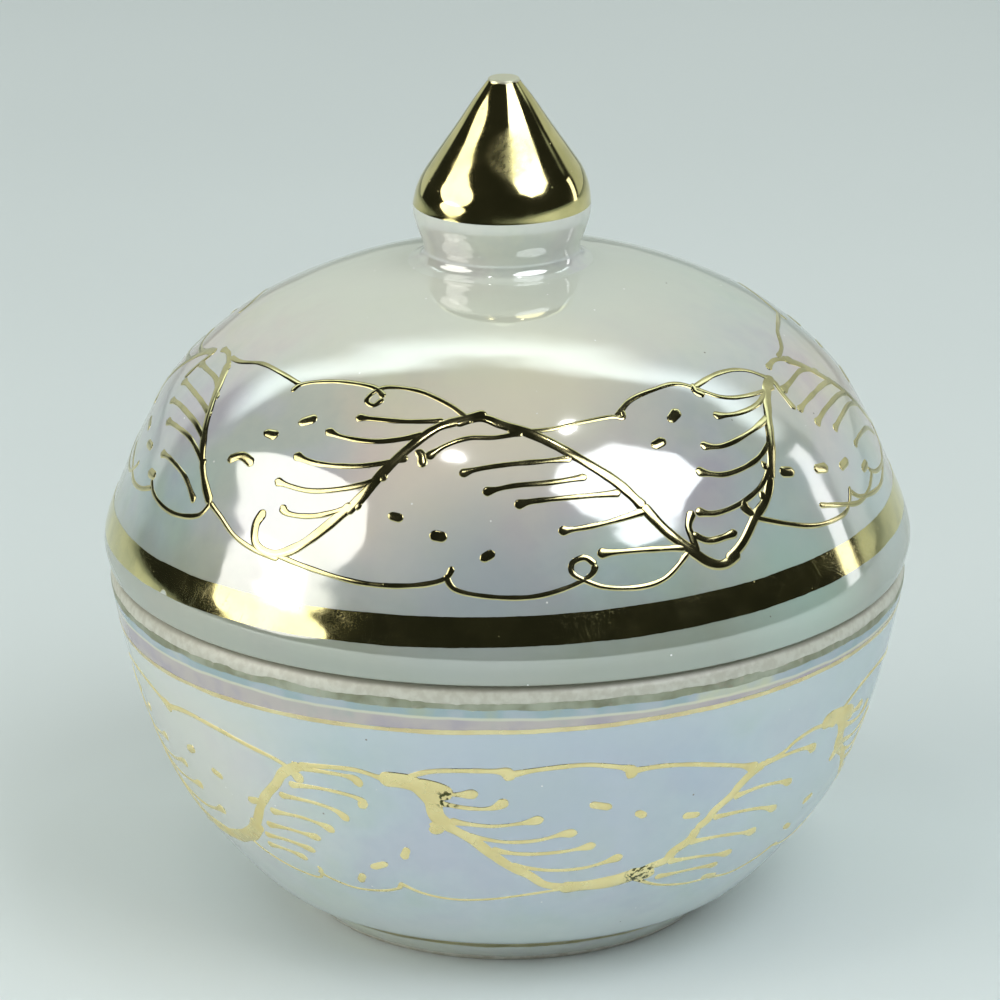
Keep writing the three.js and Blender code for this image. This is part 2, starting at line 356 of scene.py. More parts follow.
LID_LEAF_D = [
    ["spine", [[-4, 65.2], [-8, 64.7], [-12, 63.4], [-15, 61.9], [-18, 59.8], [-20.5, 57.6]]],
    ["spine", [[-20, 58], [-23, 55.9], [-26, 54.7], [-29.5, 52.7], [-33, 51.3]]],
    ["barb", [[-9, 64.5], [-14, 63.9], [-20, 63.8], [-25.4, 64.2]]],
    ["barb", [[-13.5, 62.7], [-20, 62.1], [-27, 61.7], [-31.3, 62.2]]],
    ["barb", [[-16, 61], [-22, 59.7], [-29, 59.3], [-34.2, 60.2]]],
    ["barb", [[-19.5, 58.8], [-23, 57.3], [-28, 56.3], [-33, 56], [-36.3, 56.6]]],
    ["hook", [[-24, 56.3], [-22.5, 56.5]]],
    ["hook", [[-21.2, 58.9], [-19.9, 59.1]]],
    ["hook", [[-26, 54.9], [-27.3, 55.8], [-27.2, 56.6]]],
    ["hook", [[-4.5, 65], [-5.4, 63.6], [-5.5, 62.2]]],
]
LID_TOP_SCALLOPS = [
    ["thread", [
        [70.5, 65.6], [66, 66.8], [59, 67.7], [52, 67.8], [49, 67.4], [48, 66.6], [50, 66.3], [51.4, 66.9],
    ]],
    ["thread", [[51.5, 67], [48, 67.6], [41, 67.6], [35, 67.2], [31, 66.6], [30.2, 65.9]]],
    ["thread", [[31, 66.6], [24, 66.9], [16, 66.9], [9, 66.2], [4, 66]]],
]
LID_TOP_SCALLOPS_RIGHT = [
    ["thread", [[6, 65], [13, 65], [20, 65.4], [26, 65.6], [28.2, 65.4], [28.6, 66.1]]],
    ["thread", [[27, 65.5], [31, 66.6], [37, 67.1], [44, 67.1], [51, 65.4], [57, 64.8], [66, 64.5]]],
    ["hook", [[47, 66.9], [46.4, 66.3], [48, 65.9]]],
    ["thread", [[46.5, 66.6], [53, 67], [59, 66.9], [63.5, 66.3], [67, 65.1]]],
]
LID_BOTTOM_SCALLOPS = [
    ["thread", [[-30, 52], [-23, 51.3], [-15, 50.7], [-8, 50.9], [-3.2, 51.7], [-2, 53]]],
    ["thread", [[-3, 52.2], [-1.5, 50.8], [3, 50.2], [9, 50.1], [14, 50.8], [17.8, 51.9], [18.6, 53]]],
    ["thread", [
        [18.7, 52.8], [17.2, 53.6], [15.3, 53.2], [15.2, 52.2], [17, 51.4], [20, 50.6], [25, 50.3],
        [29, 50.9], [33, 52.9],
    ]],
]
LID_BOTTOM_SCALLOPS_RIGHT = [
    ["thread", [[-26, 54.7], [-20, 53.1], [-14, 51.9], [-7, 51.6], [-4, 52.3], [-2, 53.6]]],
    ["thread", [[-2.5, 53.2], [0, 52.1], [5, 51.4], [10, 51.2], [15, 51.8], [20, 52.6]]],
]
LID_DOTS = [
    ["dot", [[-11.8, 57.3], [-10.8, 57.2]]],
    ["dot", [[-5, 55.8], [-3.8, 55.7]]],
    ["dot", [[2.6, 53.9], [3.4, 54.2]]],
]
LID_DOTS_LEFT = [
    ["dot", [[-33.8, 64], [-32, 64.4]]],
    ["dot", [[-39.8, 62.4], [-38, 62.4]]],
    ["dot", [[-44.5, 59.3], [-42.5, 59.9], [-40, 59.6]]],
]
LID_DOTS_RIGHT = [
    ["dot", [[-34.3, 64.7], [-32.6, 65.1]]],
    ["dot", [[-39.6, 62.9], [-38.2, 63.1]]],
    ["dot", [[-17.2, 57.9], [-15.4, 57.6]]],
    ["dot", [[-9, 56.8], [-6.6, 56.5]]],
    ["dot", [[-1.8, 55.7], [0.4, 55.8]]],
]

# The bowl's leaves: P and R lean to the left, Q to the right. All barbs point to the right.
BOWL_LEAF_P = [
    ["spine", [
        [-9.5, 28.9], [-13, 27.4], [-15, 25.6], [-17.5, 23.8], [-19.4, 22.2], [-21, 20.5], [-22.6, 18.8],
    ]],
    ["stem", [[-22, 19.2], [-24.6, 17.2], [-28, 15.9], [-33, 14.8], [-41, 14.6]]],
    ["hook", [[-11, 28.6], [-10.3, 28.9]]],
    ["barb", [[-11.5, 28.4], [-5, 28.7], [-1, 28.5], [0, 27.5]]],
    ["barb", [[-12.5, 26], [-7, 26.4], [-2, 26.2], [0, 25.6], [-0.8, 24.8]]],
    ["barb", [[-15, 24.2], [-9, 24.3], [-5, 23.8], [-3, 22.7]]],
    ["barb", [[-18, 21.5], [-12, 21.8], [-8, 21.4], [-6, 20.8]]],
    ["barb", [[-20, 19.3], [-15, 19.6], [-9, 19.4]]],
    ["barb", [[-21.5, 17.6], [-16, 17.8], [-11, 17.3]]],
    ["barb", [[-22, 16.2], [-17, 16.2], [-13.5, 15.7]]],
]
BOWL_LEAF_Q = [
    ["stem", [[3, 28.9], [6, 29], [8.5, 28.6], [10.6, 26.8], [11.2, 24.8], [13, 23.2]]],
    ["stem", [[8, 28.6], [11.5, 28.2], [13.5, 27.2]]],
    ["patch", [[10.5, 27.2], [11.5, 25.4]]],
    ["spine", [[12, 23.7], [16, 22], [19, 20], [22, 18.2], [25, 16.9], [28, 15.3], [33, 14.8]]],
    ["hook", [[12, 23.8], [10.6, 23], [9.8, 22.9]]],
    ["barb", [[9, 27.9], [14, 27.7], [17.5, 27.9]]],
    ["barb", [[11, 26.6], [16, 26], [19.5, 26.1], [21.7, 27.1]]],
    ["barb", [[13, 24.2], [19, 23.7], [24, 24.1], [27, 24.6]]],
    ["barb", [[15.5, 22.4], [21, 21.6], [26, 21.7], [30, 22.4], [32.2, 22.4]]],
    ["barb", [[19, 20.5], [24, 19.9], [30, 20], [35.3, 20.6]]],
    ["barb", [[22, 18.4], [28, 17.5], [34, 17.5], [40, 18.6]]],
]
BOWL_LEAF_R = [
    ["patch", [[-31, 15.8], [-29, 15.6], [-25.5, 15.2]]],
    ["spine", [[-9, 27], [-11.5, 26.2], [-13.5, 25], [-14.5, 24], [-17, 22.6], [-18, 21.5], [-20, 20.5]]],
    ["spine", [[-19.7, 20.7], [-20.5, 19.2], [-23, 18], [-24, 16.9], [-27, 16.3], [-29, 15.5]]],
    ["stem", [[-27, 15.9], [-30, 15.4], [-34, 14.9], [-42, 14.7]]],
    ["barb", [[-9.5, 27], [-3, 27], [1, 26.6], [3, 25.8]]],
    ["barb", [[-14, 23.6], [-9, 23.9], [-4, 23.4], [-1, 22.6]]],
    ["barb", [[-17, 21.5], [-12, 21.3], [-7, 20.7], [-2.7, 19.6]]],
    ["barb", [[-20.5, 18.8], [-15, 18.6], [-10, 18], [-6, 17.4]]],
    ["barb", [[-23.5, 16.6], [-18, 16.3], [-13, 15.7], [-10, 15.3]]],
    ["barb", [[-25, 14.5], [-19, 14.5], [-15, 14.3], [-12, 14]]],
]
BOWL_TOP_SCALLOPS = [
    ["scallop", [[-10, 28.9], [-4, 29.5], [0, 29.6], [4, 28.9], [6, 28.7]]],
    ["scallop", [[5, 28.6], [8.5, 29.9], [12, 30.6], [18, 30.8], [21.6, 30.6], [21.5, 29.6]]],
    ["scallop", [[22, 30.3], [26, 30.9], [32, 31.2], [36, 30.8], [39.4, 30], [39.2, 28.9]]],
    ["scallop", [[39.6, 29.8], [44, 29.9], [49, 29.4], [55, 28.3], [59, 27.4], [61.5, 26.6]]],
]
BOWL_TOP_SCALLOPS_RIGHT = [
    ["scallop", [[-9, 26.9], [-5.5, 27.5], [-3, 28.4], [1, 28.9], [5, 28.5], [8, 28.3]]],
    ["scallop", [[6.5, 28.1], [9, 29.4], [13, 30.8], [19, 31.5], [26, 31.1], [31, 30.2], [33.5, 29.6]]],
    ["scallop", [[32, 29.8], [38, 30.6], [45, 30.4], [52, 29.6], [58, 28.6], [61.3, 26.7]]],
]
BOWL_BOTTOM_SCALLOPS = [
    ["thread", [[-27, 16], [-24, 14.6], [-19, 13.4], [-13.5, 13], [-11.8, 14.2], [-12, 15]]],
    ["thread", [[-12.5, 14.2], [-10.5, 13.4], [-6, 12.7], [-1, 13], [2.6, 13.8], [3.8, 14.9]]],
    ["thread", [[3.4, 14.7], [7, 13.5], [12, 12.9], [18, 13.1], [24, 13.8], [31, 14.6]]],
]
BOWL_BOTTOM_SCALLOPS_RIGHT = [
    ["thread", [[-29, 14.9], [-24, 13.2], [-18, 12.2], [-14, 12], [-12, 12.2]]],
    ["dot", [[-13.4, 12.4], [-11, 12.1]]],
    ["thread", [[-12, 12], [-6, 11.3], [0, 11.9], [4, 13.1]]],
    ["thread", [[4, 13.1], [8, 12.2], [15, 12], [22, 12.9], [31, 14.6]]],
]
BOWL_DOTS = [
    ["dot", [[5.2, 18.8], [5.8, 19.8]]],
    ["dot", [[-0.6, 16.7], [1.6, 17.4]]],
    ["dot", [[-4, 14.2], [-3.2, 15.1]]],
    ["dot", [[34.2, 26], [36.6, 25.5]]],
    ["dot", [[41.4, 24.2], [42.3, 23.8]]],
    ["dot", [[49.6, 22.7], [51.6, 22.5]]],
]
BOWL_DOTS_RIGHT = [
    ["dot", [[6.5, 18.3], [8, 18.6]]],
    ["dot", [[3.5, 15.8], [5, 15.3]]],
    ["dot", [[35.5, 25.3], [37, 25.7]]],
    ["dot", [[41.5, 24], [43, 23.7]]],
    ["dot", [[49, 22], [51, 22.3]]],
]

# Degrees of the three motifs in view.
LID_NODES = (-77, -6, 66)
BOWL_NODES = (-93, -22, 50)
LID_MOTIFS = {
    "left": LID_LEAF_A + LID_LEAF_D + LID_TOP_SCALLOPS + LID_BOTTOM_SCALLOPS_RIGHT[:1] + LID_DOTS_RIGHT,
    "middle": (
        LID_LEAF_B + LID_LEAF_C + LID_TOP_SCALLOPS_RIGHT + LID_BOTTOM_SCALLOPS + LID_DOTS + LID_DOTS_LEFT
    ),
    "right": LID_LEAF_D + LID_LEAF_A + LID_TOP_SCALLOPS[1:] + LID_BOTTOM_SCALLOPS_RIGHT + LID_DOTS_RIGHT,
}
BOWL_SIDE_LEAVES = BOWL_LEAF_R + BOWL_LEAF_Q
BOWL_SIDE = BOWL_SIDE_LEAVES + BOWL_TOP_SCALLOPS_RIGHT + BOWL_BOTTOM_SCALLOPS_RIGHT + BOWL_DOTS_RIGHT
BOWL_MOTIFS = {
    "left": BOWL_SIDE,
    "middle": BOWL_LEAF_P + BOWL_LEAF_Q + BOWL_TOP_SCALLOPS + BOWL_BOTTOM_SCALLOPS + BOWL_DOTS,
    "right": BOWL_SIDE,
}


def garland(name, wall, motifs, kinds, nodes, body, replaces):
    """The belt of leaves and borders: three motifs in view and two more, copied round the back."""
    places = [
        (motifs["left"], nodes[0]), (motifs["middle"], nodes[1]), (motifs["right"], nodes[2]),
        (motifs["middle"], nodes[2] + REPEAT), (motifs["right"], nodes[0] - REPEAT),
    ]
    lines = []
    for motif, node in places:
        for number, (kind, points) in enumerate(motif):
            moved = [[node + a, z] for a, z in points]
            trail(lines, wall, moved, seed=node + number, **kinds[kind])
    return beads(name, lines, body, replaces)


# ---------------------------------------------------------------- painted films

FILM_SINK = 0.02  # how far a painted ring's inside lies in the glaze
FILM_ROWS = 7  # points across a painted ring


def film(name, wall, lower, upper, body, replaces, ragged, lift=0.035):
    """A painted, slightly ragged ring that follows the wall. Each edge is (height at the front, tilt)."""
    turn = 2 * TURN
    verts = []
    for depth in (-FILM_SINK, lift):
        for j in range(FILM_ROWS):
            for k in range(turn):
                degrees = 360 * k / turn
                a = math.radians(degrees)
                edges = []
                for number, (height, tilt) in enumerate((lower, upper)):
                    shake = wobble(math.sin(a), math.cos(a), number + height, 9, ragged)
                    shake += wobble(math.sin(a), math.cos(a), number - height, 60, ragged * 0.5)
                    edges.append(height + LID_RADIUS * math.sin(a) * math.tan(tilt) + shake)
                height = edges[0] + (edges[1] - edges[0]) * j / (FILM_ROWS - 1)
                verts.append(wall.place(degrees, height, depth))
    faces = []
    outer = FILM_ROWS * turn  # the first vertex of the outer face
    for k in range(turn):
        nxt = (k + 1) % turn
        for j in range(FILM_ROWS - 1):
            low = j * turn
            high = low + turn
            faces.append((outer + low + k, outer + low + nxt, outer + high + nxt, outer + high + k))
            faces.append((low + nxt, low + k, high + k, high + nxt))
        top = (FILM_ROWS - 1) * turn
        faces.append((outer + nxt, outer + k, k, nxt))
        faces.append((outer + top + k, outer + top + nxt, top + nxt, top + k))
    return object_from(name, verts, faces, body, replaces, crease=60)


# ---------------------------------------------------------------- porcelain

def bowl_outline():
    outer = smooth(BOWL_OUTER, 10)
    inner = shifted(outer, -WALL)[8:-6][::-1]  # stops short of the floor and of the lip
    lip = arc((43.0, RIM - LIP_OUTSIDE), LIP_OUTSIDE, 12, 90, 9)
    inside = arc((42.5, RIM - LIP_INSIDE), LIP_INSIDE, 90, 175, 7)
    underside = [[0, UNDERSIDE], [12, UNDERSIDE]]
    bottom = UNDERSIDE + WALL
    floor = [[22, bottom + 0.05], [14, bottom], [6, bottom], [0, bottom]]
    return np.vstack([underside, outer, lip, inside, inner, floor])


def foot_outline():
    high = UNDERSIDE - 0.05
    outside = smooth([[22.9, 0.35], [23.6, 1.1], [24.5, 2.1], [25.5, high]], 4)
    bottom = np.vstack([arc((20.8, 0.6), 0.6, 200, 270, 5), arc((22.3, 0.6), 0.6, 270, 335, 5)])
    return np.vstack([bottom, outside, [[18.6, high]], [[19.3, 1.6]]])


def lid_outline():
    outer = smooth(LID_OUTER, 10)
    inner = shifted(outer, -WALL)
    inner = inner[inner[:, 1] > 45.6][::-1]  # starts above the flange
    edge = arc((44.27, SEAM + EDGE_ROUND), EDGE_ROUND, 270, 350, 5)
    mouth_radius = FLANGE_RADIUS + 0.05
    mouth = [[mouth_radius, FLANGE_HIGH + 0.2], [mouth_radius, SEAM]]
    return np.vstack([[[0, CROWN - WALL]], inner, mouth, edge, outer, [[5, CROWN]], [[0, CROWN]]])


def flange_outline():
    inside = FLANGE_RADIUS - FLANGE_WALL
    centre = FLANGE_LOW + FLANGE_ROUND
    low = np.vstack([
        arc((inside + FLANGE_ROUND, centre), FLANGE_ROUND, 180, 270, 6),
        arc((FLANGE_RADIUS - FLANGE_ROUND, centre), FLANGE_ROUND, 270, 360, 6),
    ])
    return np.vstack([low, [[FLANGE_RADIUS, FLANGE_HIGH]], [[inside, FLANGE_HIGH]]])


def finial_outline():
    flare = [10.9, CROWN - 0.3]  # dips into the dome
    lower = smooth([flare] + FINIAL_LOWER, 8)
    core = shifted(smooth(FINIAL_UPPER, 8), -GILDING - 0.03)
    return np.vstack([[[0, lower[0][1]]], lower, core[1:], [[0, core[-1][1] + 0.1]]])


def gilding_outline():
    outer = smooth(FINIAL_UPPER, 10)
    inner = shifted(outer, -GILDING)[::-1]
    tip = arc((1.45, TOP - 0.3), 0.3, 20, 90, 5)
    return np.vstack([[[0, TOP - 0.3]], inner, outer, tip, [[0, TOP - 0.1]]])


def lean(piece):
    """Eases a piece of the finial to the right above the gilding's edge."""
    for vertex in piece.data.vertices:
        share = (vertex.co.z / MM - GILT) / LEAN_RISE
        vertex.co.x += FINIAL_LEAN * MM * min(max(share, 0), 1)


# ---------------------------------------------------------------- materials

GLAZE_IOR = 2.8  # lustre makes the glaze reflect more than plain porcelain does
SCRATCH_TURNS = [(0, 25, 0), (0, -35, 0), (0, 70, 0), (0, -60, 30)]
BLACK = (0, 0, 0)
WHITE = (1, 1, 1)


def grey(value):
    return (value, value, value)


class Paint:
    """A Principled material and the few nodes that feed it."""

    def __init__(self, name):
        self.material = bpy.data.materials.new(name)
        self.material.use_nodes = True
        self.tree = self.material.node_tree
        self.shader = self.tree.nodes["Principled BSDF"]
        self.where = self.node("ShaderNodeTexCoord").outputs["Object"]

    def node(self, kind, **values):
        made = self.tree.nodes.new(kind)
        for key, value in values.items():
            setattr(made, key, value)
        return made

    def link(self, source, target):
        self.tree.links.new(source, target)

    def set(self, **values):
        for key, value in values.items():
            self.shader.inputs[key.replace("_", " ").title().replace("Ior", "IOR")].default_value = value

    def noise(self, size, detail=2.0, offset=0.0, stretch=(1, 1, 1), turn=(0, 0, 0)):
        """Noise between about 0.2 and 0.8 with features of a size in millimetres."""
        place = self.node("ShaderNodeMapping", vector_type="TEXTURE")
        place.inputs["Location"].default_value = (offset, offset * 0.7, offset * 1.3)
        place.inputs["Rotation"].default_value = [math.radians(a) for a in turn]
        place.inputs["Scale"].default_value = [1 / v for v in stretch]
        self.link(self.where, place.inputs["Vector"])
        made = self.node("ShaderNodeTexNoise")
        made.inputs["Scale"].default_value = 1 / (size * MM)
        made.inputs["Detail"].default_value = detail
        self.link(place.outputs["Vector"], made.inputs["Vector"])
        return made.outputs["Fac"]

    def ramp(self, source, stops):
        """A colour that eases between stops, each (place, colour), as the source goes from 0 to 1."""
        made = self.node("ShaderNodeValToRGB")
        made.color_ramp.interpolation = "EASE"
        marks = made.color_ramp.elements
        while len(marks) < len(stops):
            marks.new(0.5)
        for mark, (place, colour) in zip(marks, stops):
            mark.position = place
            mark.color = (*colour, 1)
        self.link(source, made.inputs["Fac"])
        return made.outputs["Color"]

    def mix(self, share, first, second, kind="MIX"):
        made = self.node("ShaderNodeMix", data_type="RGBA", blend_type=kind)
        for socket, value in ((made.inputs[0], share), (made.inputs[6], first), (made.inputs[7], second)):
            if isinstance(value, bpy.types.NodeSocket):
                self.link(value, socket)
            elif isinstance(value, (int, float)):
                socket.default_value = value
            else:
                socket.default_value = (*value, 1)
        return made.outputs[2]

    def math(self, operation, first, second=0.0, clamp=False):
        made = self.node("ShaderNodeMath", operation=operation, use_clamp=clamp)
        for socket, value in zip(made.inputs, (first, second)):
            if isinstance(value, bpy.types.NodeSocket):
                self.link(value, socket)
            else:
                socket.default_value = value
        return made.outputs[0]

    def above(self, height, blur, shake=0.0, shake_size=3.0):
        """0 below a height in millimetres and 1 above it, with a blurred and shaken edge."""
        split = self.node("ShaderNodeSeparateXYZ")
        self.link(self.where, split.inputs[0])
        z = split.outputs["Z"]
        if shake:
            swing = self.math("SUBTRACT", self.noise(shake_size), 0.5)
            z = self.math("ADD", z, self.math("MULTIPLY", swing, shake * MM))
        made = self.node("ShaderNodeMapRange", interpolation_type="SMOOTHSTEP")
        made.inputs["From Min"].default_value = (height - blur) * MM
        made.inputs["From Max"].default_value = (height + blur) * MM
        self.link(z, made.inputs["Value"])
        return made.outputs["Result"]

    def below(self, *edge):
        return self.math("SUBTRACT", 1.0, self.above(*edge))

    def near(self, point, reach, steep=3.0):
        """1 at a point, given in millimetres, falling to 0 at a reach from it."""
        gap = self.node("ShaderNodeVectorMath", operation="DISTANCE")
        self.link(self.where, gap.inputs[0])
        gap.inputs[1].default_value = tuple(v * MM for v in point)
        share = self.math("DIVIDE", gap.outputs["Value"], reach * MM)
        return self.math("MULTIPLY", self.math("SUBTRACT", 1.0, share), steep, clamp=True)

    def feed(self, name, source):
        self.link(source, self.shader.inputs[name])

    def over(self, name, share, value):
        """Lays a value over what feeds one of the shader's sockets, as far as share allows."""
        under = self.shader.inputs[name].links[0].from_socket
        self.feed(name, self.mix(share, under, value))

    def bump(self, source, depth):
        made = self.node("ShaderNodeBump")
        made.inputs["Distance"].default_value = depth * MM
        self.link(source, made.inputs["Height"])
        self.feed("Normal", made.outputs["Normal"])

    def paint(self, piece, slot):
        piece.data.materials.clear()
        piece.data.materials.append(self.material)


def pearl(paint, tones, low_tone, high_tone, low, high):
    """Mother-of-pearl lustre in patches of a few tones, with another tone past each (height, blur) edge."""
    pink = (0.96, 0.90, 0.97)
    green = (0.97, 1, 0.90)
    patches = paint.ramp(paint.noise(26, 1.5, 0.031), tones)
    sheen = paint.ramp(paint.noise(11, 2, 0.23), [(0.36, pink), (0.5, WHITE), (0.64, green)])
    mottle = paint.ramp(paint.noise(1.6, 3, 0.4), [(0.35, (0.95, 0.96, 0.98)), (0.65, WHITE)])
    colour = paint.mix(1.0, patches, sheen, "MULTIPLY")
    colour = paint.mix(1.0, colour, mottle, "MULTIPLY")
    colour = paint.mix(paint.math("MULTIPLY", paint.below(*low, 4), 0.8), colour, low_tone)
    return paint.mix(paint.math("MULTIPLY", paint.above(*high, 4), 0.85), colour, high_tone)


def specks(paint, colour, speck, spacing, reach, offset=0.9, rare=0.6):
    """Sparse specks: one in some of the cells of a given spacing, out to a reach as a share of the cell."""
    dots = paint.node("ShaderNodeTexVoronoi")
    dots.inputs["Scale"].default_value = 1 / (spacing * MM)
    paint.link(paint.where, dots.inputs["Vector"])
    near = paint.math("LESS_THAN", dots.outputs["Distance"], reach)
    some = paint.math("GREATER_THAN", paint.noise(5, 0, offset), rare)
    return paint.mix(paint.math("MULTIPLY", near, some), colour, speck)


def glaze(name, tones, low_tone, high_tone, low, high, clouds=()):
    """A glossy lustre glaze with specks, and with clouds of colour, each (place, reach, tone)."""
    paint = Paint(name)
    colour = pearl(paint, tones, low_tone, high_tone, low, high)
    for point, reach, tone in clouds:
        colour = paint.mix(paint.math("MULTIPLY", paint.near(point, reach, 1.3), 0.7), colour, tone)
    colour = specks(paint, colour, (0.20, 0.19, 0.16), 3.5, 0.035)
    colour = specks(paint, colour, (0.85, 0.86, 0.84), 2.4, 0.045, 0.3, 0.55)
    paint.feed("Base Color", colour)
    paint.feed("Roughness", paint.ramp(paint.noise(9, 4, 0.2), [(0.3, grey(0.05)), (0.75, grey(0.11))]))
    paint.set(ior=GLAZE_IOR)
    paint.bump(paint.noise(6, 2, 0.1), 0.03)
    return paint


def bare(paint, share, light, dark, grain):
    """Leaves clay bare over a glaze, as far as share allows."""
    clay = paint.ramp(paint.noise(grain, 3, 0.6), [(0.35, dark), (0.65, light)])
    paint.over("Base Color", share, clay)
    paint.over("Roughness", share, grey(0.55))


def biscuit(name, light, dark):
    paint = Paint(name)
    colour = paint.ramp(paint.noise(1.0, 4, 0.3), [(0.3, dark), (0.6, light)])
    paint.feed("Base Color", specks(paint, colour, (0.2, 0.15, 0.1), 3.5, 0.05))
    paint.set(roughness=0.7)
    paint.bump(paint.noise(0.4, 3), 0.03)
    return paint


def scratches(paint, turns):
    """Hair scratches lying at a few angles: 1 along a scratch and 0 between them."""
    total = None
    for number, turn in enumerate(turns):
        lines = paint.noise(0.13, 0, 0.17 * (number + 1), stretch=(1, 1, 0.02), turn=turn)
        thin = paint.ramp(lines, [(0.73, BLACK), (0.77, WHITE)])
        total = thin if total is None else paint.math("MAXIMUM", total, thin)
    patchy = paint.ramp(paint.noise(9, 2, 0.66), [(0.42, BLACK), (0.6, WHITE)])
    return paint.math("MULTIPLY", total, patchy)


def gold(name, tone, deep, rough, worn=0.0, scratched=()):
    """Fired-on bright gold: uneven in tone, thin in places, with hair scratches where it is rubbed."""
    paint = Paint(name)
    colour = paint.ramp(paint.noise(4, 3, 0.5), [(0.35, deep), (0.65, tone)])
    if worn:
        thin = paint.ramp(paint.noise(1.4, 4, 0.8), [(0.60, BLACK), (0.70, grey(worn))])
        colour = paint.mix(thin, colour, (0.50, 0.47, 0.38))
    uneven = paint.noise(2.5, 4, 0.15)
    roughness = paint.ramp(uneven, [(0.35, grey(rough)), (0.75, grey(rough * 2.2))])
    paint.bump(uneven, 0.008)
    if scratched:
        roughness = paint.mix(scratches(paint, scratched), roughness, grey(0.24))
    roughness = specks(paint, roughness, grey(0.5), 1.6, 0.06, 0.7, 0.5)
    paint.feed("Base Color", colour)
    paint.feed("Roughness", roughness)
    paint.set(metallic=1.0)
    return paint


def pitted(paint, places, pit):
    """Dark pits in the gold near a few places, each (point, reach) in millimetres."""
    grain = paint.ramp(paint.noise(0.45, 2, 0.5), [(0.50, BLACK), (0.56, WHITE)])
    for point, reach in places:
        paint.over("Base Color", paint.math("MULTIPLY", grain, paint.near(point, reach)), pit)


def lustre(name):
    """The bowl's rim band: green-blue lustre above, a pale line, and pink-grey below."""
    paint = Paint(name)
    cool = [
        (0.3, (0.36, 0.44, 0.36)), (0.42, (0.30, 0.42, 0.46)),
        (0.55, (0.40, 0.47, 0.54)), (0.7, (0.58, 0.60, 0.42)),
    ]
    warm = [(0.3, (0.42, 0.36, 0.42)), (0.5, (0.52, 0.46, 0.44)), (0.7, (0.40, 0.42, 0.40))]
    colour = paint.ramp(paint.noise(7, 3, 0.35), cool)
    colour = paint.mix(paint.below(37.0, 0.15, 0.5, 6), colour, paint.ramp(paint.noise(6, 3, 0.75), warm))
    line = paint.math("MULTIPLY", paint.above(36.95, 0.12, 0.5, 6), paint.below(37.25, 0.12, 0.5, 6))
    colour = paint.mix(paint.math("MULTIPLY", line, 0.75), colour, (0.80, 0.76, 0.54))
    paint.feed("Base Color", colour)
    paint.feed("Roughness", paint.ramp(paint.noise(3, 4), [(0.3, grey(0.1)), (0.7, grey(0.22))]))
    paint.set(metallic=0.3, ior=GLAZE_IOR)
    paint.bump(paint.noise(1.5, 3), 0.01)
    return paint


# Patches of the lustre's colours: (place, reach, tone).
LID_CLOUDS = [
    (LID_WALL.place(-12, 61), 14, (0.74, 0.66, 0.54)),
    (LID_WALL.place(8, 67.5), 15, (0.76, 0.72, 0.55)),
    (LID_WALL.place(-4, 51), 13, (0.33, 0.39, 0.42)),
    (LID_WALL.place(46, 49), 14, (0.42, 0.60, 0.54)),
    (LID_WALL.place(72, 52), 12, (0.50, 0.62, 0.64)),
]
BOWL_CLOUDS = [
    (BOWL_WALL.place(-58, 25), 26, (0.68, 0.68, 0.60)),
    (BOWL_WALL.place(4, 29), 26, (0.42, 0.52, 0.66)),
    (BOWL_WALL.place(55, 22), 20, (0.58, 0.68, 0.72)),
]


# ---------------------------------------------------------------- the box

